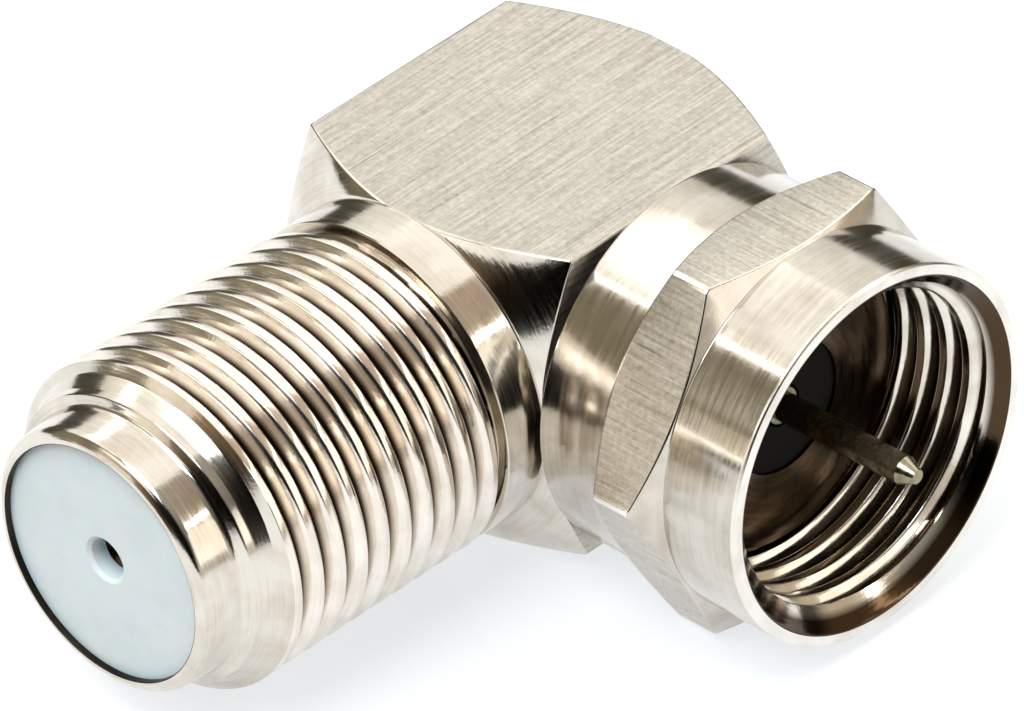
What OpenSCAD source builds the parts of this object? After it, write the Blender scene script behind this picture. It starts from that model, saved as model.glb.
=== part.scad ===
// Right-angle F adapter: a threaded jack on one axis, a plug with a swivelling coupling nut on the other.
// -Y runs out along the jack, +X out along the plug, +Z is up.
// The origin is the centre of the block's underside, right below the crossing of the two axes.

/* [Block] */
// Width and height of the square bar that the block is made from
block_w = 9.4; // [9:0.1:11]
// From the crossing of the two axes to the block's front end face
block_front = 4.85; // [4.4:0.05:7]
// From the crossing to the block's back end face
block_back = 5.05; // [4.4:0.05:7]
// Diameter of the flat face turned on each end of the bar
end_face_d = 9.5; // [9.1:0.1:11]
// Angle of the turned chamfer, measured from the end face
end_chamfer = 35; // [20:1:50]

/* [Jack barrel] */
// Diameter of the smooth collar next to the block
collar_d = 9.4; // [9:0.1:9.8]
// Length of the collar
collar_l = 1.3; // [0.6:0.1:3]
// Diameter at the bottom of the thread's relief groove
relief_d = 8.66; // [8.2:0.02:8.9]
// Width of the relief groove's floor
relief_w = 0.18; // [0.18:0.02:1]
// Length of the groove's sloping flank, where the thread begins
relief_flank = 0.3; // [0.3:0.05:1]
// Size of the small chamfer on the collar's edge
collar_edge = 0.06; // [0.06:0.02:0.2]
// Major diameter of the 3/8-32 thread
thread_d = 9.46; // [9.3:0.02:9.6]
// Length of the thread at its full diameter
thread_l = 7.4; // [5:0.1:14]
// Pitch of the thread, which is cut here as plain ring grooves
thread_pitch = 0.794; // [0.7:0.001:1]
// Depth of the thread's grooves
groove_depth = 0.4; // [0.1:0.01:0.45]
// Width of the thread's grooves at its crests
groove_w = 0.46; // [0.2:0.01:0.48]
// Wall of the barrel's nose round the insulator
nose_wall = 0.32; // [0.2:0.02:0.5]
// Length of the taper from the thread down to the nose
taper_l = 0.96; // [0.6:0.02:1.6]
// Length of the nose past the taper
nose_l = 1.3; // [0.8:0.05:1.6]
// How far the rolled rim reaches in over the insulator
rim_lip = 0.12; // [0.06:0.02:0.3]
// Thickness of the rolled rim in front of the insulator
rim_t = 0.2; // [0.15:0.05:0.4]
// Length of the rolled edge, over which the nose draws in to the rim
roll_l = 0.34; // [0.2:0.02:0.6]
// Width of the flat ring left on the rim's front
rim_flat = 0.07; // [0.04:0.01:0.1]

/* [Bores] */
// Diameter of the front bore, which holds the jack's insulator
front_bore_d = 7.04; // [7:0.02:7.2]
// Diameter of the barrel's bore, which holds the rear bush
barrel_bore_d = 5.6; // [5.2:0.1:6.6]
// Diameter of the bore through the bend
bend_bore_d = 5; // [4.9:0.05:5.1]
// From the crossing to the shoulder that stops the rear bush
bush_shoulder = 2.9; // [2.7:0.1:4]
// Diameter of the closing cap in the back end
cap_d = 5.8; // [5.4:0.1:7]
// Thickness of the closing cap
cap_t = 1.1; // [0.7:0.1:1.4]
// How far the cap lies below the back face
cap_recess = 0.06; // [0:0.02:0.3]
// Size of the small chamfer round the cap
cap_edge = 0.15; // [0.05:0.05:0.3]
// Diameter of the side bore that the post is pressed into
side_bore_d = 4.8; // [4.4:0.1:4.8]

/* [Jack insides] */
// Thickness of the insulator's front wall
disc_t = 0.6; // [0.5:0.1:1.8]
// Whole length of the insulator, with its skirt
insulator_l = 3; // [2.2:0.1:5]
// Thickness of the insulator's skirt
skirt_t = 1.1; // [0.6:0.1:1.4]
// Diameter of the hole that the centre conductor enters
socket_d = 1.16; // [0.9:0.02:1.4]
// Depth of the funnel at the mouth of that hole
funnel_depth = 0.1; // [0.05:0.05:0.4]
// Diameter of the funnel at its mouth
funnel_d = 1.36; // [1.3:0.02:2.6]
// Diameter of the contact's spring socket
contact_d = 2.6; // [2.5:0.1:3.2]
// Diameter of the bore down the spring socket
contact_bore_d = 0.8; // [0.6:0.02:0.84]
// Length of the slotted tines
tine_l = 4.6; // [3:0.1:5.6]
// Width of each slot between the tines
tine_slot = 0.3; // [0.2:0.05:0.5]
// Diameter of the contact's stem, which runs back to the bend
stem_d = 2.3; // [2:0.1:2.4]
// How far the stem runs behind the plug's axis
stem_back = 1.3; // [1:0.1:1.8]
// Length of the rear bush
bush_l = 3.6; // [2:0.1:5]

/* [Plug] */
// Diameter of the post's neck, which the nut turns on
neck_d = 5.9; // [5.6:0.1:6.2]
// Radial gap between the post's flange, which the jack's rim meets, and the nut's thread
flange_gap = 0.26; // [0.15:0.01:0.5]
// Thickness of the flange
flange_t = 1.45; // [0.8:0.05:2.4]
// Bore of the post, which holds the plug's insulator
post_bore_d = 3.8; // [3:0.1:4]
// Diameter of the centre pin where it stands free
pin_d = 0.8; // [0.6:0.02:0.9]
// Diameter of its root, inside the insulator
pin_root_d = 1.2; // [1.15:0.05:1.4]
// Length of the pin's tapered tip
pin_tip_l = 0.45; // [0.2:0.05:0.8]
// Diameter of the flat end of that tip
pin_end_d = 0.4; // [0.2:0.02:0.5]
// How far the pin's inner end stands out behind the contact's stem
pin_tail = 0.1; // [0:0.05:0.4]
// How far the insulator's face lies below the flange's face
face_step = 0.1; // [0:0.02:0.3]
// How far the pin stands out past the nut's rim
pin_out = 1.4; // [0:0.1:3]

/* [Coupling nut] */
// Whole length of the nut
nut_l = 6.95; // [6.2:0.05:9]
// Width of the hexagon across its flats
hex_af = 10.8; // [10.8:0.1:12.4]
// From the nut's rear face to the hexagon
hex_from = 2.2; // [1.8:0.1:3]
// Length of the hexagon along the middle of a flat
hex_l = 2.25; // [1.8:0.05:3]
// Angle of the hexagon's rear chamfer, measured from the nut's end face
hex_rear_chamfer = 34; // [15:1:45]
// Angle of the hexagon's front chamfer
hex_front_chamfer = 26; // [15:1:45]
// Diameter of the round collar behind the hexagon
nut_collar_d = 10.6; // [10.4:0.1:10.7]
// Diameter of the round sleeve in front of it
nut_sleeve_d = 10.7; // [10.4:0.1:10.7]
// Size of the small chamfer on the outer edges of the collar and the sleeve
nut_edge = 0.12; // [0.05:0.01:0.3]
// Diameter inside the nut at the crests of its thread
nut_bore_d = 8.72; // [8.6:0.02:8.9]
// Width of the flat ring left on the nut's rim, outside its bevelled mouth
rim_w = 0.35; // [0.25:0.01:0.6]
// Thickness of the inner lip that holds the nut on the post
lip_t = 2.2; // [0.8:0.05:2.6]
// How far the nut is turned about the plug's axis
nut_turn = 28.3; // [0:0.1:60]

/* [Fits] */
// Radial gap between pieces that are pressed together
press_gap = 0.01; // [0.005:0.005:0.03]
// Radial gap between the nut and the post's neck
run_gap = 0.05; // [0.02:0.01:0.1]
// Gap between the nut's rear face and the block's side
nut_gap = 0.25; // [0.1:0.05:0.6]
// Gap between the nut's lip and the post's flange
float_gap = 0.06; // [0.03:0.01:0.2]

/* [Hidden] */
$fn = 96;
eps = 0.2;
axis_z = block_w / 2;
nose_d = front_bore_d + 2 * nose_wall;
rim_open_d = front_bore_d - 2 * rim_lip;
flange_d = nut_bore_d - 2 * flange_gap;
mouth_d = nut_sleeve_d - 2 * rim_w;

// Places along the jack, counted outwards from the crossing.
cap_seat = cap_t + cap_recess - block_back;
collar_end = block_front + collar_l;
thread_start = collar_end + relief_w + relief_flank;
thread_end = thread_start + thread_l;
taper_end = thread_end + taper_l;
rim_front = taper_end + nose_l;
disc_front = rim_front - rim_t;
disc_back = disc_front - disc_t;
insulator_back = disc_front - insulator_l;
contact_front = disc_back - 0.1;
contact_step = bush_shoulder + bush_l;
thread_turns = floor(thread_l / thread_pitch);
first_groove = thread_start + (thread_l - (thread_turns - 1) * thread_pitch) / 2;

// Places along the plug, counted outwards from the crossing.
block_side = block_w / 2;
post_back = bend_bore_d / 2 + 0.1;
nut_back = block_side + nut_gap;
lip_front = nut_back + lip_t;
flange_back = lip_front + float_gap;
post_face = flange_back + flange_t;
plug_insulator_front = post_face - face_step;
nut_front = nut_back + nut_l;
pin_front = nut_front + pin_out;
hex_back = nut_back + hex_from;
hex_front = hex_back + hex_l;

module on_jack() {
    translate([0, 0, axis_z]) rotate([90, 0, 0]) children();
}

module on_plug() {
    translate([0, 0, axis_z]) rotate([0, 90, 0]) children();
}

// A round rod between two places along an axis.
module rod(d, from, to) {
    translate([0, 0, from]) cylinder(d = d, h = to - from);
}

// A cone between two places, with the diameter at each.
module taper(d1, d2, from, to) {
    translate([0, 0, from]) cylinder(d1 = d1, d2 = d2, h = to - from);
}

// A rod with a small chamfer round each end.
module edged_rod(d, from, to, edge) {
    rotate_extrude()
        polygon([[0, from], [d / 2 - edge, from], [d / 2, from + edge],
                 [d / 2, to - edge], [d / 2 - edge, to], [0, to]]);
}

// Points of one groove of the thread, cut into radius r about a place along the axis.
function groove(r, at) = [[r, at - groove_w / 2], [r - groove_depth, at], [r, at + groove_w / 2]];

// The square bar, with both of its ends turned to a chamfer.
module block() {
    corner = block_w;
    drop = (corner - end_face_d / 2) * tan(end_chamfer);
    intersection() {
        translate([-block_w / 2, -block_front, 0]) cube([block_w, block_front + block_back, block_w]);
        on_jack() rotate_extrude()
            polygon([[0, -block_back], [end_face_d / 2, -block_back], [corner, drop - block_back],
                     [corner, block_front - drop], [end_face_d / 2, block_front], [0, block_front]]);
    }
}

// Outside of the barrel: collar, relief groove, thread, taper and the nose with its rolled rim.
module barrel() {
    thread_r = thread_d / 2;
    nose_r = nose_d / 2;
    roll_r = rim_open_d / 2 + rim_flat;
    rotate_extrude()
        polygon(concat(
            [[0, block_front - eps], [collar_d / 2, block_front - eps],
             [collar_d / 2, collar_end - collar_edge], [collar_d / 2 - collar_edge, collar_end],
             [relief_d / 2, collar_end],
             [relief_d / 2, collar_end + relief_w], [thread_r, thread_start]],
            [for (i = [0:thread_turns - 1], p = groove(thread_r, first_groove + i * thread_pitch)) p],
            [[thread_r, thread_end], [thread_r - 0.3, thread_end + 0.28],
             [nose_r + 0.16, taper_end - 0.04], [nose_r + 0.04, taper_end + 0.2],
             [nose_r, rim_front - roll_l],
             [(nose_r + roll_r) / 2 + 0.02, rim_front - 0.4 * roll_l], [roll_r, rim_front],
             [0, rim_front]]));
}

module body() {
    color("silver") difference() {
        union() {
            block();
            on_jack() barrel();
        }
        on_jack() {
            rod(bend_bore_d, -block_back - eps, bush_shoulder + eps);
            rod(cap_d, -block_back - eps, cap_seat);
            rod(barrel_bore_d, bush_shoulder, insulator_back + eps);
            rod(front_bore_d, insulator_back, disc_front);
            rod(rim_open_d, disc_front - eps, rim_front + eps);
        }
        on_plug() rod(side_bore_d, 0, block_side + eps);
    }
}

// The disc pressed into the back end after the joint inside has been soldered.
module rear_cap() {
    color("silver") on_jack()
        edged_rod(cap_d - 2 * press_gap, cap_seat - cap_t, cap_seat, cap_edge);
}

// White disc held by the rolled rim, with a skirt behind it that centres the contact.
module jack_insulator() {
    color("white") on_jack() difference() {
        rod(front_bore_d - 2 * press_gap, insulator_back, disc_front);
        rod(front_bore_d - 2 * press_gap - 2 * skirt_t, insulator_back - eps, disc_back);
        rod(socket_d, disc_back - eps, disc_front + eps);
        taper(socket_d, funnel_d, disc_front - funnel_depth, disc_front);
    }
}

// Turned spring socket: a stem with a cross hole for the pin, and four tines at the mouth.
module jack_contact() {
    tine_back = contact_front - tine_l;
    color("goldenrod") difference() {
        on_jack() difference() {
            union() {
                edged_rod(stem_d, -stem_back, contact_step + eps, 0.1);
                edged_rod(contact_d, contact_step, contact_front, 0.15);
            }
            rod(contact_bore_d, tine_back - 1, contact_front + eps);
            taper(contact_bore_d, contact_bore_d + 0.6, contact_front - 0.3, contact_front);
            for (a = [0, 90])
                rotate([0, 0, a]) translate([-contact_d, -tine_slot / 2, tine_back])
                    cube([2 * contact_d, tine_slot, tine_l + eps]);
        }
        on_plug() rod(pin_root_d + 2 * press_gap, -stem_d, stem_d);
    }
}

// Insulating bush that holds the contact's stem in the barrel.
module rear_bush() {
    color("ivory") on_jack() difference() {
        rod(barrel_bore_d - 2 * press_gap, bush_shoulder, contact_step);
        rod(stem_d + 2 * press_gap, bush_shoulder - eps, contact_step + eps);
    }
}

// Flanged tube pressed into the block's side; its flange keeps the nut on.
module plug_post() {
    color("silver") on_plug() difference() {
        union() {
            edged_rod(side_bore_d - 2 * press_gap, post_back, block_side + eps, 0.1);
            rod(neck_d, block_side, flange_back + eps);
            edged_rod(flange_d, flange_back, post_face, 0.12);
        }
        rod(post_bore_d, post_back - eps, post_face + eps);
    }
}

module plug_insulator() {
    color("white") on_plug() difference() {
        rod(post_bore_d - 2 * press_gap, post_back, plug_insulator_front);
        rod(pin_root_d + 2 * press_gap, post_back - eps, post_face + eps);
    }
}

// Centre pin, soldered through the contact's stem at its inner end.
module plug_pin() {
    color("silver") on_plug() {
        edged_rod(pin_root_d, -stem_d / 2 - pin_tail, plug_insulator_front, 0.08);
        rod(pin_d, plug_insulator_front - eps, pin_front - pin_tip_l);
        taper(pin_d, pin_end_d, pin_front - pin_tip_l, pin_front);
    }
}

// Envelope that turns the ends of the hexagon down to the collar and the sleeve.
module hex_envelope() {
    outer = hex_af / 2 / cos(30) + 0.2;
    rear_drop = (outer - nut_collar_d / 2) * tan(hex_rear_chamfer);
    front_drop = (outer - nut_sleeve_d / 2) * tan(hex_front_chamfer);
    rotate_extrude()
        polygon([[0, hex_back], [nut_collar_d / 2, hex_back], [outer, hex_back + rear_drop],
                 [outer, hex_front - front_drop], [nut_sleeve_d / 2, hex_front], [0, hex_front]]);
}

module coupling_nut() {
    middle = (hex_back + hex_front) / 2;
    bevel = (mouth_d - nut_bore_d) / 2;
    color("silver") on_plug() difference() {
        union() {
            edged_rod(nut_collar_d, nut_back, middle, nut_edge);
            edged_rod(nut_sleeve_d, middle, nut_front, nut_edge);
            intersection() {
                rotate([0, 0, nut_turn]) translate([0, 0, hex_back])
                    cylinder(r = hex_af / 2 / cos(30), h = hex_l, $fn = 6);
                hex_envelope();
            }
        }
        rod(neck_d + 2 * run_gap, nut_back - eps, lip_front + eps);
        rod(nut_bore_d, lip_front, nut_front + eps);
        taper(nut_bore_d, mouth_d, nut_front - bevel, nut_front);
    }
}

body();
rear_cap();
jack_insulator();
jack_contact();
rear_bush();
plug_post();
plug_insulator();
plug_pin();
coupling_nut();
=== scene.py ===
import math

import bmesh
import bpy
from mathutils import Matrix, Vector


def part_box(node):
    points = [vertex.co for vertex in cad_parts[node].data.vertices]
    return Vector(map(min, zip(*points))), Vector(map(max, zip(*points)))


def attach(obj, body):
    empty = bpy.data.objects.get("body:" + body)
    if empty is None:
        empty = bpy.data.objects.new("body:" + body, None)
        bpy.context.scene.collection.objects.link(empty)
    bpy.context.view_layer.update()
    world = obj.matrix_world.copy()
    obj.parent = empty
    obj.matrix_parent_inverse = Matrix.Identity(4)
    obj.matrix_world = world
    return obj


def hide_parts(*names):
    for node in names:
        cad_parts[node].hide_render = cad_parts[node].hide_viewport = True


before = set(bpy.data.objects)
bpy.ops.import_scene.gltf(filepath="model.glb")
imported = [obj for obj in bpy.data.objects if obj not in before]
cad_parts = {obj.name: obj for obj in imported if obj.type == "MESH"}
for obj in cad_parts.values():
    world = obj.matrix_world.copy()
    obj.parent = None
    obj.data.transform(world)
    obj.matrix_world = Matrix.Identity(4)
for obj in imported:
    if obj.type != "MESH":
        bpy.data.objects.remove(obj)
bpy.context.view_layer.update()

mm = 0.001
pinLow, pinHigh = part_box("plug_pin")
axisHeight = (pinLow.z + pinHigh.z) / 2 / mm  # both axes run at this height, in millimetres
scene = bpy.context.scene


def fromHex(code):
    # sRGB hex to linear colour
    parts = [int(code[i:i + 2], 16) / 255 for i in (1, 3, 5)]
    return tuple(p / 12.92 if p <= 0.04045 else ((p + 0.055) / 1.055) ** 2.4 for p in parts) + (1.0,)


def addNode(tree, kind, inputs=None, stops=None, **settings):
    # one node with its settings and links; an input is a value, another node or one of its outputs
    node = tree.nodes.new(kind)
    for name, value in settings.items():
        setattr(node, name, value)
    for name, value in (inputs or {}).items():
        if isinstance(value, bpy.types.Node):
            value = value.outputs[0]
        if isinstance(value, bpy.types.NodeSocket):
            tree.links.new(value, node.inputs[name])
        else:
            node.inputs[name].default_value = value
    for i, (place, colour) in enumerate(stops or []):
        element = node.color_ramp.elements[i] if i < 2 else node.color_ramp.elements.new(place)
        element.position = place
        element.color = fromHex(colour) if isinstance(colour, str) else (colour, colour, colour, 1.0)
    return node


def newMaterial(name):
    material = bpy.data.materials.new(name)
    material.use_nodes = True
    material.node_tree.nodes.clear()
    return material, material.node_tree


def finishMaterial(tree, colour, roughness, height, bumpDepth, **sockets):
    # Principled shader with its constant sockets set directly
    bump = addNode(tree, "ShaderNodeBump", {"Height": height, "Distance": bumpDepth * mm, "Strength": 1.0})
    shader = addNode(tree, "ShaderNodeBsdfPrincipled",
                     {"Base Color": colour, "Roughness": roughness, "Normal": bump})
    for name, value in sockets.items():
        shader.inputs[name].default_value = value
    addNode(tree, "ShaderNodeOutputMaterial", {"Surface": shader})


def placeInMm(tree):
    # the piece's own coordinates in millimetres, from the crossing of the two axes
    coords = addNode(tree, "ShaderNodeTexCoord")
    return addNode(tree, "ShaderNodeMapping", {"Vector": coords.outputs["Object"], "Scale": (1 / mm,) * 3,
                                               "Location": (0, 0, -axisHeight)})


nickel = {
    "lightHex": "#DDD6CB",      # nickel plate: warm white metal
    "darkHex": "#C4BBAD",
    "rootShadeHex": "#4A3A2A",      # painted shade: dull brown at the bottom of a thread
    "rubbedHighlightHex": "#FAF6EE",     # painted highlight: the lighter colour of edges that spanners have rubbed smooth
    "rubbedRoughness": 0.16,
    "rubbedHighlightEase": 0.03,         # mm over which a rubbed edge and its painted highlight fade into the flat
    "toolLine": 0.11,           # mm between the lines a lathe tool leaves, drawn coarse enough to show
    "toolDrift": 0.25,          # how quickly those lines fade in and out round the axis
    "faceShare": 0.83,          # share of the radius in the lines' place, so that flat ends are ringed too
    "brushLine": 0.08,          # mm between brush lines on the flats, drawn coarse enough to show
    "scratchLine": 1 / 9,       # mm between the places where a deeper scratch can run
    "scratchDepth": 0.11,       # as a share of the depth of the brush lines
    "pit": 0.14,                # mm across the small pits and bumps under the plate
    "patch": 1 / 0.9,           # mm across the broad patches of lighter and darker plate
}


def radiusFrom(tree, place, axis):
    # distance from the X or Y axis, in millimetres
    keep = (0, 1, 1) if axis == "X" else (1, 0, 1)
    across = addNode(tree, "ShaderNodeVectorMath", {0: place, 1: keep}, operation="MULTIPLY")
    return addNode(tree, "ShaderNodeVectorMath", {0: across}, operation="LENGTH").outputs["Value"]


def lathePlace(tree, place, axis):
    # constant along each line that a lathe tool leaves, apart from a slow drift round the axis
    split = addNode(tree, "ShaderNodeSeparateXYZ", {0: place})
    sideways = split.outputs["Y" if axis == "X" else "X"]
    upward = split.outputs["Z"]
    radius = radiusFrom(tree, place, axis)
    lines = addNode(tree, "ShaderNodeMath", {0: radius, 1: nickel["faceShare"], 2: split.outputs[axis]},
                    operation="MULTIPLY_ADD")
    across = addNode(tree, "ShaderNodeMath", {0: sideways, 1: radius}, operation="DIVIDE")
    above = addNode(tree, "ShaderNodeMath", {0: upward, 1: radius}, operation="DIVIDE")
    ringed = addNode(tree, "ShaderNodeCombineXYZ", {0: lines, 1: across, 2: above})
    drift = nickel["toolDrift"]
    return addNode(tree, "ShaderNodeMapping", {"Vector": ringed, "Scale": (1, drift, drift)})


def turnedMetal(name, axis, roughness, bumpDepth, lightHex=nickel["lightHex"], darkHex=nickel["darkHex"],
                rootShade=None):
    # turned metal, most of it nickel plated: mirror streaks round the axis, broken up by faint tool lines and
    # pits; the last argument gives the radius where a thread is unshaded and the one where its root is fully
    # painted dull brown as shade
    material, tree = newMaterial(name)
    place = placeInMm(tree)
    ringed = lathePlace(tree, place, axis)
    lines = addNode(tree, "ShaderNodeTexNoise",
                    {"Vector": ringed, "Scale": 1 / nickel["toolLine"], "Detail": 2.0})
    pits = addNode(tree, "ShaderNodeTexNoise", {"Vector": place, "Scale": 1 / nickel["pit"], "Detail": 3.0})
    patches = addNode(tree, "ShaderNodeTexNoise",
                      {"Vector": place, "Scale": 1 / nickel["patch"], "Detail": 4.0})
    shade = addNode(tree, "ShaderNodeMath", {0: lines, 1: 0.4, 2: patches}, operation="MULTIPLY_ADD")
    colour = addNode(tree, "ShaderNodeValToRGB", {0: shade}, [(0.45, darkHex), (0.85, lightHex)])
    rough = addNode(tree, "ShaderNodeValToRGB", {0: lines},
                    [(0.3, roughness * 0.75), (0.75, roughness * 1.35)])
    # painted shade: the thread darkens to dull brown towards its root
    if rootShade:
        litRadius, shadedRadius = rootShade
        amount = addNode(tree, "ShaderNodeMapRange",
                         {"Value": radiusFrom(tree, place, axis), "From Min": litRadius, "From Max": shadedRadius})
        colour = addNode(tree, "ShaderNodeMix",
                         {"Factor": amount, 6: colour, 7: fromHex(nickel["rootShadeHex"])},
                         data_type="RGBA").outputs[2]
    height = addNode(tree, "ShaderNodeMath", {0: pits, 1: 0.8, 2: lines}, operation="MULTIPLY_ADD")
    finishMaterial(tree, colour, rough, height, bumpDepth, Metallic=1.0)
    return material


def brushedNickel(name, stretch, roughness, bumpDepth, lightHex, darkHex, rubbedHighlightRadius=None):
    # nickel plate over drawn or milled bar: satin flats with fine parallel lines, pits and a few deeper
    # scratches; edges farther from the X axis than the last argument, in mm, are rubbed smooth by spanners
    # and painted lighter as a highlight
    material, tree = newMaterial(name)
    place = placeInMm(tree)
    along = addNode(tree, "ShaderNodeMapping", {"Vector": place, "Scale": stretch})
    lines = addNode(tree, "ShaderNodeTexNoise",
                    {"Vector": along, "Scale": 1 / nickel["brushLine"], "Detail": 3.0, "Roughness": 0.6})
    pits = addNode(tree, "ShaderNodeTexNoise",
                   {"Vector": place, "Scale": 1 / nickel["pit"], "Detail": 4.0, "Roughness": 0.65})
    broad = addNode(tree, "ShaderNodeTexNoise",
                    {"Vector": along, "Scale": 1 / nickel["scratchLine"], "Detail": 2.0})
    scratch = addNode(tree, "ShaderNodeValToRGB", {0: broad}, [(0.62, 0.0), (0.70, 1.0)])
    shade = addNode(tree, "ShaderNodeMix", {"Factor": 0.45, 2: lines, 3: pits})
    height = addNode(tree, "ShaderNodeMath", {0: scratch, 1: -nickel["scratchDepth"], 2: shade},
                     operation="MULTIPLY_ADD")
    colour = addNode(tree, "ShaderNodeValToRGB", {0: height}, [(0.3, darkHex), (0.62, lightHex)]).outputs[0]
    rough = addNode(tree, "ShaderNodeValToRGB", {0: shade},
                    [(0.3, roughness * 0.85), (0.7, roughness * 1.15)])
    if rubbedHighlightRadius:
        rubbedHighlight = addNode(tree, "ShaderNodeMapRange",
                         {"Value": radiusFrom(tree, place, "X"), "From Min": rubbedHighlightRadius,
                          "From Max": rubbedHighlightRadius + nickel["rubbedHighlightEase"]})
        # painted highlight: the rubbed edges are coloured lighter
        colour = addNode(tree, "ShaderNodeMix",
                         {"Factor": rubbedHighlight, 6: colour, 7: fromHex(nickel["rubbedHighlightHex"])},
                         data_type="RGBA").outputs[2]
        rough = addNode(tree, "ShaderNodeMix", {"Factor": rubbedHighlight, 2: rough, 3: nickel["rubbedRoughness"]})
    finishMaterial(tree, colour, rough, height, bumpDepth, Metallic=1.0)
    return material


plastic = {
    "flowMark": 2.0,            # mm across the faint marks where the melt flowed
    "grain": 0.08,              # mm across the grain of the mould, drawn coarse enough to show
    "grainDepth": 0.006,        # mm
    "sinkShare": 0.5,           # share of the light that sinks in before it comes back
}


def mouldedPlastic(name, lightHex, darkHex, roughness, glowDepth, shine=0.5):
    # moulded plastic: faint flow marks and a soft gloss; light sinks in by glowDepth mm, which makes the pale
    # ones look waxy; shine is the specular level, low for a dull plastic
    material, tree = newMaterial(name)
    place = placeInMm(tree)
    flow = addNode(tree, "ShaderNodeTexNoise",
                   {"Vector": place, "Scale": 1 / plastic["flowMark"], "Detail": 3.0})
    grain = addNode(tree, "ShaderNodeTexNoise",
                    {"Vector": place, "Scale": 1 / plastic["grain"], "Detail": 3.0})
    colour = addNode(tree, "ShaderNodeValToRGB", {0: flow}, [(0.35, darkHex), (0.65, lightHex)])
    rough = addNode(tree, "ShaderNodeValToRGB", {0: grain}, [(0.3, roughness * 0.9), (0.7, roughness * 1.1)])
    sockets = {"Subsurface Weight": plastic["sinkShare"], "Subsurface Scale": glowDepth * mm,
               "Specular IOR Level": shine}
    finishMaterial(tree, colour, rough, grain, plastic["grainDepth"], **sockets)
    return material


# a low roughness is where the tool ran fine and the plate is a mirror; dark metals are painted shade for the
# ones deep inside
jackNickel = turnedMetal("turned bright nickel, jack", "Y", 0.13, 0.002)
# painted highlight: the jack's thread is a lighter copy of its nickel, with painted shade at the roots
threadHighlightNickel = turnedMetal("thread-cut nickel, jack, painted highlight and root shade", "Y", 0.15, 0.003, "#F0E8DE", "#DCD2C4",
                           (4.52, 4.36))
blockNickel = brushedNickel("brushed nickel bar, block", (1.0, 0.035, 1.0), 0.40, 0.008, "#D6D0C6", "#A09A8E")
faceNickel = turnedMetal("faced bright nickel, block ends", "Y", 0.1, 0.0012)
# painted shade: near-black metal inside the bores and in the crevice behind the jack's rim
boreShadeBrass = turnedMetal("bored brass, painted shade inside", "Y", 0.4, 0.004, "#3E372E", "#241F19")
# painted shade: the nut's nickel is a darker copy of the jack's
nutShadeNickel = turnedMetal("turned nickel, nut, painted a shade darker", "X", 0.14, 0.001, "#D5CEC3", "#BBB2A5")
# painted highlight: the nut's rim is a near-white copy of its nickel
rimHighlightNickel = turnedMetal("nickel, nut rim, painted highlight", "X", 0.24, 0.001, "#F2EEE6", "#DCD5CA")
# painted highlight: the nut's thread is a lighter copy of its nickel, with painted shade at the roots
nutThreadHighlightNickel = turnedMetal("tapped nickel, inside the nut", "X", 0.11, 0.002, "#E8E1D6", "#C9C0B2",
                              (4.54, 4.72))
# painted highlight on the hexagon's corners, with real rubbing that smooths them
hexNickel = brushedNickel("milled nickel hexagon, nut", (0.04, 1.0, 1.0), 0.36, 0.008, "#D6D0C5", "#9A9385",
                          6.16)
# painted shade: the post deep in the nut is nickel coloured dark brown
postShadeNickel = turnedMetal("turned nickel, post, painted shade", "X", 0.18, 0.003, "#665542", "#33291F")
# painted shade: the centre pin is a darker copy of nickel
pinShadeNickel = turnedMetal("turned nickel, centre pin, painted shade", "X", 0.2, 0.003, "#A39A84", "#716851")
# painted shade: the contact behind the insulator's hole is bronze coloured near black
contactShadeBronze = turnedMetal("turned phosphor bronze, contact, painted shade", "Y", 0.3, 0.002, "#4A3C26", "#2C2316")
jackPlastic = mouldedPlastic("moulded white polyethylene", "#F0F9F9", "#E7F1F1", 0.42, 0.6)
naturalPlastic = mouldedPlastic("moulded natural PTFE", "#E4E2D8", "#D5D2C6", 0.45, 0.4)
# painted shade: the plug's insulator deep in the nut is coloured near black
shadePlastic = mouldedPlastic("moulded plastic, painted dark brown shade", "#16120F", "#0F0C0A", 0.6, 0.1, 0.12)
print("materials made")


def softened(corners, steps=3, most=0.48):
    # (radius, along, rounding, finish) corners to (radius, along, finish) points, each corner eased by its
    # rounding, but never by more than that share of the edge beside it
    eased = []
    for k, (radius, along, size, finish) in enumerate(corners):
        corner = Vector((radius, along))
        if size == 0:
            eased.append((radius, along, finish))
            continue
        ends = []
        for other in (corners[k - 1], corners[k + 1]):
            side = Vector(other[:2]) - corner
            ends.append(corner + side * min(size / max(side.length, 1e-6), most))
        for i in range(steps + 1):
            u = i / steps
            point = ends[0] * (1 - u) ** 2 + corner * (2 * u * (1 - u)) + ends[1] * u * u
            eased.append((point.x, point.y, finish))
    return eased


def barRadius(angle, sides, half, corner, turn):
    # distance from the axis to the side of a bar with rounded corners, at that angle; one corner is at turn
    step = 2 * math.pi / sides
    fromCorner = abs((angle - turn + step / 2) % step - step / 2)
    fromFlat = step / 2 - fromCorner
    inner = (half - corner) / math.cos(step / 2)
    if fromFlat < math.atan((half - corner) * math.tan(step / 2) / half):
        return half / math.cos(fromFlat)
    return inner * math.cos(fromCorner) + math.sqrt(max(corner ** 2 - (inner * math.sin(fromCorner)) ** 2, 0))


def lookUp(table, place):
    # straight-line value between rows of (place, value)
    for (start, before), (end, after) in zip(table, table[1:]):
        if place <= end:
            return before + (after - before) * max(0.0, (place - start) / (end - start))
    return table[-1][1]


def columnAngles(step, extras):
    # angles round the axis in degrees, with extra ones at corners, first and last the same place
    angles = {round(i * step, 6) for i in range(int(360 / step))} | {round(e % 360, 6) for e in extras}
    return [math.radians(a) for a in sorted(angles)] + [2 * math.pi]


def cornerAngles(first, count, span):
    # five angles over the rounding of each corner of a bar, in degrees
    return [first + 360 / count * k + span * share for k in range(count) for share in (-1, -0.5, 0, 0.5, 1)]


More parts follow.
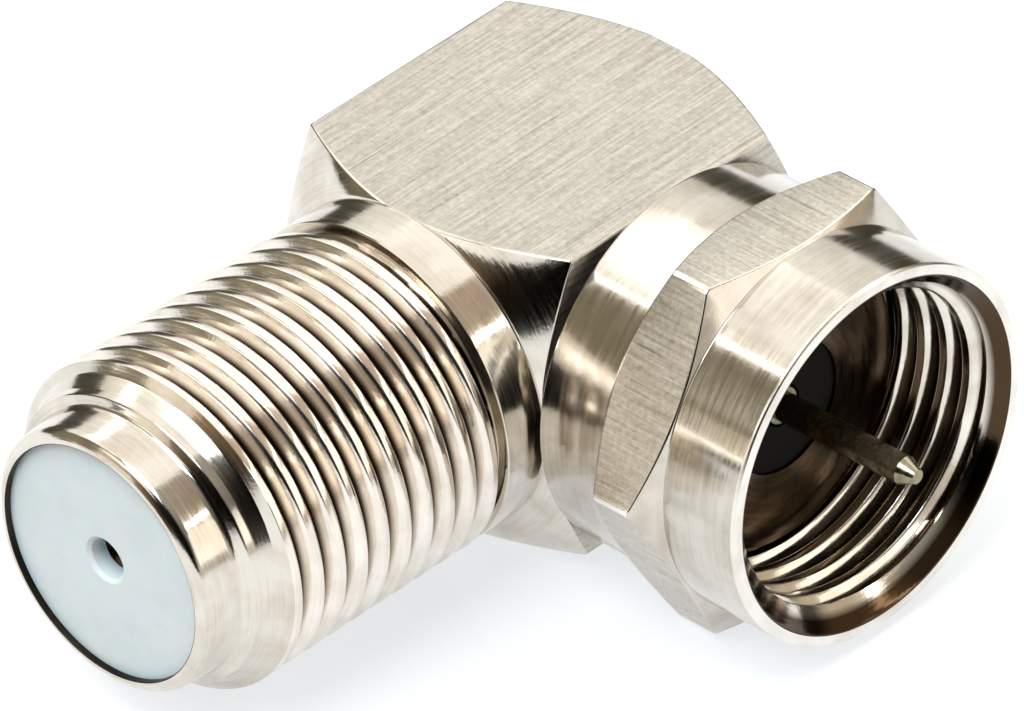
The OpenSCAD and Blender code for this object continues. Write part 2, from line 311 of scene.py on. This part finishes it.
def gridPiece(name, angles, rowsAt, materials, toSpace, weld=0.0008):
    # a closed piece from rows of (radius, along, finish) at each angle; points within weld mm are merged
    bm = bmesh.new()
    finishes = [row[2] for row in rowsAt(0.0)]
    columns = [[bm.verts.new(toSpace(angle, r, s)) for r, s, finish in rowsAt(angle)] for angle in angles]
    count = len(finishes)
    for left, right in zip(columns, columns[1:]):
        for k in range(count):
            after = (k + 1) % count
            face = bm.faces.new((left[k], right[k], right[after], left[after]))
            face.material_index = materials.index(finishes[k])
            face.smooth = True
    bmesh.ops.remove_doubles(bm, verts=bm.verts, dist=weld * mm)
    bmesh.ops.recalc_face_normals(bm, faces=bm.faces)
    mesh = bpy.data.meshes.new(name)
    bm.to_mesh(mesh)
    bm.free()
    for material in materials:
        mesh.materials.append(material)
    piece = bpy.data.objects.new(name, mesh)
    scene.collection.objects.link(piece)
    return piece


def settleNormals(piece, angle=32):
    # crisp edges above that angle, and flats that stay flat between rounded edges
    piece.data.set_sharp_from_angle(angle=math.radians(angle))
    weighted = piece.modifiers.new("weighted normals", "WEIGHTED_NORMAL")
    weighted.keep_sharp = True
    weighted.weight = 60


def threadRows(angle, thread, stop, wallAt, hand, inside, finish):
    # rows of one thread: the helix, held between the thread's start and stop, where the wall is plain
    start, pitch = thread["start"], thread["pitch"]
    shift = hand * pitch * angle / (2 * math.pi)
    first = thread["groove"] - pitch * (math.ceil((thread["groove"] - start) / pitch) + 1)
    rows = []
    for turn in range(thread["turns"]):
        for offset, depth in thread["profile"]:
            along = first + pitch * turn + offset + shift
            held = min(max(along, start), stop)
            wall = wallAt(held)
            cut = depth * thread["depth"]
            if held != along:
                rows.append((wall, held, finish))
            elif inside:
                rows.append((max(wall, thread["radius"] + cut), held, finish))
            else:
                rows.append((min(wall, thread["radius"] - cut), held, finish))
    return rows


def threadProfile(pitch, top, floor, edge):
    # one pitch of a thread as (place, share of the depth): the groove in the middle, its floor a little
    # hollow, and the edges of the crest eased
    half, low = top / 2, floor / 2
    slope = 1 / (half - low)
    side = [(half + edge * (1 - 2 * u), u * u * edge * slope) for u in (0, 0.25, 0.5, 0.75, 1)]
    side += [((half + low) / 2, 0.5), (low + edge, 1 - edge * slope), (low, 0.97)]
    rows = [(-pitch / 2, 0.0)] + [(-place, depth) for place, depth in side] + [(0.0, 1.0)]
    return rows + [(place, depth) for place, depth in reversed(side)]


jack = {
    "half": 4.7, "back": -5.05, "front": 4.85, "faceRadius": 4.75, "chamfer": 35.0, "barCorner": 0.1,
    "edge": 0.06, "columnStep": 2.5,
    "cornerSpan": 0.62,         # degrees either side of a corner that its rounding takes
    "faceSpan": 8.33,           # degrees either side of a flat's middle where the chamfer runs out
    "collar": 4.70, "collarEnd": 6.15, "reliefRadius": 4.33, "reliefEnd": 6.33,
    "thread": {
        "start": 6.33, "pitch": 0.79375, "groove": 7.28, "radius": 4.73, "depth": 0.43,
        "turns": 14,            # a few more than show, so that the helix is whole at every angle
        "profile": threadProfile(0.79375, 0.55, 0.03, 0.045),
    },
    "firstTurn": [(6.33, 4.33), (6.63, 4.73)],  # place and radius of the cone that the thread starts on
    "landEnd": 14.13,
    "wander": 0.126,            # how far the last turn runs to and fro along the jack on its way round
    "runOut": [(4.46, 14.29, 0.03), (4.23, 14.67, 0.03), (4.18, 14.91, 0.05)],  # radius, place, rounding
    "shoulder": 3.93, "shoulderStart": 15.03,
    "noseBack": 3.87, "noseFront": 3.78, "noseStart": 15.12, "roll": 16.12,
    "rimFront": 16.29, "rimOuter": 3.52, "rimOpen": 3.40, "discFront": 16.09,
    "insulatorBore": 3.52, "insulatorBack": 13.09, "barrelBore": 2.8, "bushShoulder": 2.9, "bendBore": 2.5,
    "capBore": 2.9, "capPlace": -3.89,
    "sideBore": {"radius": 2.4, "start": 0.5, "end": 6.0, "sides": 64},
}


def jackPoint(angle, radius, along):
    # angle from straight up towards +X, along counted out of the jack
    return (radius * math.sin(angle) * mm, -along * mm, (axisHeight + radius * math.cos(angle)) * mm)


def jackRows(angle):
    # block, collar, thread, nose and rim on the outside, then back along the bores to the cap
    bar = barRadius(angle, 4, jack["half"], jack["barCorner"], math.pi / 4)
    face = min(jack["faceRadius"], bar)
    drop = (bar - face) * math.tan(math.radians(jack["chamfer"]))
    sway = -jack["wander"] * math.sin(angle)
    landEnd = jack["landEnd"] + sway
    edge = jack["edge"]
    rows = softened([
        (jack["capBore"], jack["back"], 0, faceNickel),
        (face, jack["back"], edge, faceNickel),
        (bar, jack["back"] + drop, edge, blockNickel),
        (bar, jack["front"] - drop, edge, faceNickel),
        (face, jack["front"], edge, faceNickel),
        (jack["collar"], jack["front"], 0.02, jackNickel),
        (jack["collar"], jack["collarEnd"], 0.07, jackNickel),
        (jack["reliefRadius"], jack["collarEnd"], 0.03, jackNickel),
        (jack["reliefRadius"], jack["reliefEnd"], 0, jackNickel),
    ])
    rows += threadRows(angle, jack["thread"], landEnd, lambda place: lookUp(jack["firstTurn"], place - sway),
                       -1, False, threadHighlightNickel)
    runOut = [(radius, along + sway, rounding, jackNickel) for radius, along, rounding in jack["runOut"]]
    rows += softened([
        (jack["thread"]["radius"], landEnd, 0, jackNickel),
        *runOut,
        (jack["shoulder"], jack["shoulderStart"] + sway / 3, 0.06, jackNickel),
        (jack["noseBack"], jack["noseStart"], 0.05, jackNickel),
        (jack["noseFront"], jack["roll"], 0.16, jackNickel),
        (jack["rimOuter"], jack["rimFront"], 0.05, jackNickel),
        # painted shade: the rim's inner wall and the crevice by the disc take the dark bore finish
        (jack["rimOpen"], jack["rimFront"], 0.03, boreShadeBrass),
        (jack["rimOpen"], jack["discFront"], 0.02, boreShadeBrass),
        (jack["insulatorBore"], jack["discFront"], 0, boreShadeBrass),
    ], 5)
    inside = [(jack["insulatorBore"], jack["insulatorBack"]), (jack["barrelBore"], jack["insulatorBack"]),
              (jack["barrelBore"], jack["bushShoulder"]), (jack["bendBore"], jack["bushShoulder"]),
              (jack["bendBore"], jack["capPlace"]), (jack["capBore"], jack["capPlace"])]
    return rows + [(radius, along, boreShadeBrass) for radius, along in inside]


def cutSideBore(piece, bore):
    # the bore that takes the post, cut from the bend out through the block's side
    bm = bmesh.new()
    radius, sides = bore["radius"], bore["sides"]
    angles = [2 * math.pi * i / sides for i in range(sides)]
    ring = [(radius * math.sin(a) * mm, (axisHeight + radius * math.cos(a)) * mm) for a in angles]
    loops = [[bm.verts.new((x * mm, y, z)) for y, z in ring] for x in (bore["start"], bore["end"])]
    for i in range(sides):
        bm.faces.new((loops[0][i], loops[0][i - 1], loops[1][i - 1], loops[1][i]))
    bm.faces.new(loops[0])
    bm.faces.new(loops[1])
    bmesh.ops.recalc_face_normals(bm, faces=bm.faces)
    mesh = bpy.data.meshes.new("side bore tool")
    bm.to_mesh(mesh)
    bm.free()
    tool = bpy.data.objects.new("side bore tool", mesh)
    scene.collection.objects.link(tool)
    cut = piece.modifiers.new("side bore", "BOOLEAN")
    cut.operation = "DIFFERENCE"
    cut.solver = "EXACT"
    cut.object = tool
    bpy.context.view_layer.update()
    result = bpy.data.meshes.new_from_object(piece.evaluated_get(bpy.context.evaluated_depsgraph_get()))
    piece.modifiers.clear()
    piece.data = result
    bpy.data.objects.remove(tool)


jackCorners = cornerAngles(45, 4, jack["cornerSpan"])
faceEnds = [90 * k + d for k in range(4) for d in (-jack["faceSpan"], jack["faceSpan"])]
jackShell = gridPiece("threaded_body", columnAngles(jack["columnStep"], jackCorners + faceEnds), jackRows,
                      [jackNickel, blockNickel, faceNickel, threadHighlightNickel, boreShadeBrass], jackPoint)
cutSideBore(jackShell, jack["sideBore"])
settleNormals(jackShell)
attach(jackShell, "housing")
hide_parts("body")
print("body made:", len(jackShell.data.polygons), "faces")

nut = {
    "back": 4.95, "lipBore": 3.0, "lipFront": 7.15, "collar": 5.3,
    "lipEase": 0.3,             # how far into its bore the lip's rounding can reach
    "hexStart": 7.15, "hexEnd": 9.40, "half": 5.4, "hexCorner": 0.2,
    "rearChamfer": 34.0, "frontChamfer": 26.0,
    "turn": 28.3,               # degrees from straight up to the first corner
    "cornerSpan": 1.1,          # degrees either side of a corner that its rounding takes
    "sleeve": 5.35, "front": 11.9, "mouth": 5.0, "mouthBevel": 0.1, "bore": 4.36, "edge": 0.05,
    "columnStep": 2.5,
    "thread": {
        "start": 7.75, "end": 11.8, "pitch": 0.79375, "groove": 8.35, "radius": 4.36, "depth": 0.40,
        "turns": 9,             # a few more than show, so that the helix is whole at every angle
        "profile": threadProfile(0.79375, 0.52, 0.04, 0.04),
    },
    "bevel": [(7.75, 4.36), (11.26, 4.36), (11.8, 4.9)],  # place and radius of the bore, opening at the mouth
}


def nutPoint(angle, radius, along):
    # angle from straight up towards -Y, along counted out of the plug
    return (along * mm, -radius * math.sin(angle) * mm, (axisHeight + radius * math.cos(angle)) * mm)


def nutRows(angle):
    # lip, collar, hexagon, sleeve and mouth on the outside, then back along the thread to the lip
    hexagon = barRadius(angle, 6, nut["half"], nut["hexCorner"], math.radians(nut["turn"]))
    rear = nut["hexStart"] + (hexagon - nut["collar"]) * math.tan(math.radians(nut["rearChamfer"]))
    front = nut["hexEnd"] - (hexagon - nut["sleeve"]) * math.tan(math.radians(nut["frontChamfer"]))
    rows = softened([
        (nut["lipBore"], nut["back"] + nut["lipEase"], 0, nutShadeNickel),
        (nut["lipBore"], nut["back"], 0.12, nutShadeNickel),
        (nut["collar"], nut["back"], 0.12, nutShadeNickel),
        (nut["collar"], nut["hexStart"], 0.03, nutShadeNickel),
        (hexagon, rear, nut["edge"], hexNickel),
        (hexagon, front, nut["edge"], nutShadeNickel),
        (nut["sleeve"], nut["hexEnd"], 0.03, nutShadeNickel),
        (nut["sleeve"], nut["front"], 0.12, rimHighlightNickel),
        (nut["mouth"], nut["front"], 0.03, nutThreadHighlightNickel),
        (nut["mouth"] - nut["mouthBevel"], nut["front"] - nut["mouthBevel"], 0, nutThreadHighlightNickel),
    ])
    rows += reversed(threadRows(angle, nut["thread"], nut["thread"]["end"],
                                lambda place: lookUp(nut["bevel"], place), 1, True, nutThreadHighlightNickel))
    inside = [(nut["bore"], nut["thread"]["start"]), (nut["bore"], nut["lipFront"]),
              (nut["lipBore"], nut["lipFront"])]
    return rows + [(radius, along, boreShadeBrass) for radius, along in inside]


hexCorners = cornerAngles(nut["turn"], 6, nut["cornerSpan"])
nutShell = gridPiece("threaded_nut", columnAngles(nut["columnStep"], hexCorners), nutRows,
                     [nutShadeNickel, rimHighlightNickel, hexNickel, nutThreadHighlightNickel, boreShadeBrass], nutPoint)
settleNormals(nutShell)
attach(nutShell, "nut")
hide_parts("coupling_nut")
print("nut made:", len(nutShell.data.polygons), "faces")

dressing = {
    "rear_cap": faceNickel, "jack_insulator": jackPlastic, "jack_contact": contactShadeBronze,
    "rear_bush": naturalPlastic, "plug_post": postShadeNickel, "plug_insulator": shadePlastic,
    "plug_pin": pinShadeNickel,
}
for node, material in dressing.items():
    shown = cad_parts[node]
    shown.data.materials.clear()
    shown.data.materials.append(material)
print("carried-over nodes dressed")

floor = {
    "height": -0.8, "middle": 8.3, "half": 700.0,
    "tilt": 3.4,                # degrees, higher towards -X
    "hex": "#A6A6A6",
    "glow": 0.73,               # added for the camera and for reflections, so that the paper looks white
    "glowHex": "#F4F8FC",
}


def makeFloor():
    # white paper: plain and matt, seen white by the camera and in the metal, and still taking the shadow
    material, tree = newMaterial("white paper sweep")
    path = addNode(tree, "ShaderNodeLightPath")
    mirrored = addNode(tree, "ShaderNodeMath",
                       {0: path.outputs["Is Glossy Ray"], 1: path.outputs["Is Transmission Ray"]},
                       operation="MAXIMUM")
    seen = addNode(tree, "ShaderNodeMath", {0: path.outputs["Is Camera Ray"], 1: mirrored},
                   operation="MAXIMUM")
    strength = addNode(tree, "ShaderNodeMath", {0: seen, 1: floor["glow"]}, operation="MULTIPLY")
    paper = addNode(tree, "ShaderNodeBsdfDiffuse", {"Color": fromHex(floor["hex"])})
    shine = addNode(tree, "ShaderNodeEmission", {"Color": fromHex(floor["glowHex"]), "Strength": strength})
    both = addNode(tree, "ShaderNodeAddShader", {0: paper, 1: shine})
    addNode(tree, "ShaderNodeOutputMaterial", {"Surface": both})
    bm = bmesh.new()
    bmesh.ops.create_grid(bm, x_segments=12, y_segments=12, size=floor["half"] * mm)
    mesh = bpy.data.meshes.new("floor")
    bm.to_mesh(mesh)
    bm.free()
    mesh.materials.append(material)
    sweep = bpy.data.objects.new("floor", mesh)
    sweep.location = (floor["middle"] * mm, 0, floor["height"] * mm)
    sweep.rotation_euler = (0, math.radians(floor["tilt"]), 0)
    scene.collection.objects.link(sweep)


makeFloor()


def toward(azimuth, elevation):
    # unit vector in that direction, azimuth from +X towards +Y
    around, up = math.radians(azimuth), math.radians(elevation)
    return Vector((math.cos(around) * math.cos(up), math.sin(around) * math.cos(up), math.sin(up)))


view = {
    "azimuth": -44.11, "elevation": 36.09, "roll": 3.136,
    "distance": 502.8, "aim": (0.19, -1.46, 3.12),  # mm
    "lens": 681.5, "sensor": 36,
}


def makeCamera():
    data = bpy.data.cameras.new("camera")
    data.lens = view["lens"]
    data.sensor_width = view["sensor"]
    data.clip_start, data.clip_end = 0.01, 10
    camera = bpy.data.objects.new("camera", data)
    back = toward(view["azimuth"], view["elevation"])
    place = (Vector(view["aim"]) + back * view["distance"]) * mm
    level = back.to_track_quat("Z", "Y").to_matrix().to_4x4()
    roll = Matrix.Rotation(math.radians(-view["roll"]), 4, "Z")
    camera.matrix_world = Matrix.Translation(place) @ level @ roll
    scene.collection.objects.link(camera)
    scene.camera = camera


makeCamera()

# soft panels: middle, the point each one faces, size in mm, radiance, colour
panels = {
    "overhead panel": ((-248, 225, 300), (-248, 225, 0), (724, 750), 0.96, "#FFFEFC"),
    "overhead bright panel, jack": ((-50, 250, 298), (-50, 250, 0), (300, 110), 1.35, "#FFFEFC"),
    "overhead bright panel, nut": ((-262, 20, 298), (-262, 20, 0), (90, 300), 1.2, "#FFFEFC"),
    "overhead strip": ((-245, -157, 300), (-245, -157, 0), (300, 36), 3.4, "#FFFFFF"),
    "left panel": (toward(256, 34) * 460, (0, 0, 4), (320, 160), 1.3, "#FFFEFC"),
    "left low card": (toward(246.5, 12.5) * 460, (0, 0, 4), (168, 110), 1.0, "#FFF6E8"),
    "high front panel": (toward(282, 60) * 470, (0, 0, 4), (260, 230), 8.0, "#EAF3FF"),
    "left strip": ((-290, -400, 64), (0, 0, 4), (200, 14), 3.0, "#FFFDFA"),
    "right card": (toward(26, 16.5) * 560, (0, 0, 4), (470, 250), 1.05, "#FFFCF6"),
    "right strip": ((330, 310, 312), (0, 0, 4), (420, 28), 6.0, "#FFFDFA"),
}


def addPanel(name, centre, facing, size, radiance, colour):
    # watts follow from the radiance and the area
    data = bpy.data.lights.new(name, "AREA")
    data.shape = "RECTANGLE"
    data.size, data.size_y = size[0] * mm, size[1] * mm
    data.energy = radiance * math.pi * size[0] * size[1] * mm * mm
    data.color = fromHex(colour)[:3]
    lamp = bpy.data.objects.new(name, data)
    lamp.location = Vector(centre) * mm
    aim = (Vector(facing) - Vector(centre)).normalized()
    lamp.rotation_euler = aim.to_track_quat("-Z", "Y").to_euler()
    scene.collection.objects.link(lamp)


for name, (centre, facing, size, radiance, colour) in panels.items():
    addPanel(name, centre, facing, size, radiance, colour)

studio = {
    "grey": [(0.0, "#4A483F"), (0.35, "#57544A"), (0.8, "#B4B0A6")],  # from level upwards
    # walls that the metal mirrors: direction, cosines where each fades in and is full, colour
    "walls": [
        (toward(53, 44), (0.95, 0.99), "#D6BAA2"),
        (toward(44, 20), (0.86, 0.93), "#CDBFA8"),
        (toward(222, 30), (0.84, 0.93), "#938A74"),
        (toward(234, 1), (0.985, 0.997), "#2E2B24"),
        (toward(268, 6), (0.94, 0.985), "#B89C78"),
        (toward(3, -1), (0.90, 0.96), "#D6CDC2"),
    ],
    # the dark side of the room: direction, then the cosines where it starts and is full
    "dark": toward(301, 16), "darkStops": [(0.72, 1.0), (0.90, 0.02)],
}


def makeWorld():
    # a dim grey studio, paler overhead, with beige, grey and dark walls and one side left dark
    world = bpy.data.worlds.new("studio")
    world.use_nodes = True
    tree = world.node_tree
    tree.nodes.clear()
    direction = addNode(tree, "ShaderNodeTexCoord").outputs["Generated"]
    split = addNode(tree, "ShaderNodeSeparateXYZ", {0: direction})
    colour = addNode(tree, "ShaderNodeValToRGB", {0: split.outputs["Z"]}, studio["grey"]).outputs[0]
    for middle, (outer, inner), wallHex in studio["walls"]:
        nearness = addNode(tree, "ShaderNodeVectorMath", {0: direction, 1: middle}, operation="DOT_PRODUCT")
        amount = addNode(tree, "ShaderNodeValToRGB", {0: nearness.outputs["Value"]},
                         [(outer, 0.0), (inner, 1.0)])
        colour = addNode(tree, "ShaderNodeMix", {"Factor": amount, 6: colour, 7: fromHex(wallHex)},
                         data_type="RGBA").outputs[2]
    dark = addNode(tree, "ShaderNodeVectorMath", {0: direction, 1: studio["dark"]}, operation="DOT_PRODUCT")
    shade = addNode(tree, "ShaderNodeValToRGB", {0: dark.outputs["Value"]}, studio["darkStops"])
    both = addNode(tree, "ShaderNodeMix", {"Factor": 1.0, 6: colour, 7: shade}, data_type="RGBA",
                   blend_type="MULTIPLY")
    back = addNode(tree, "ShaderNodeBackground", {"Color": both.outputs[2], "Strength": 1.0})
    addNode(tree, "ShaderNodeOutputWorld", {"Surface": back})
    scene.world = world


makeWorld()
scene.view_settings.view_transform = "Standard"
print("stage set")
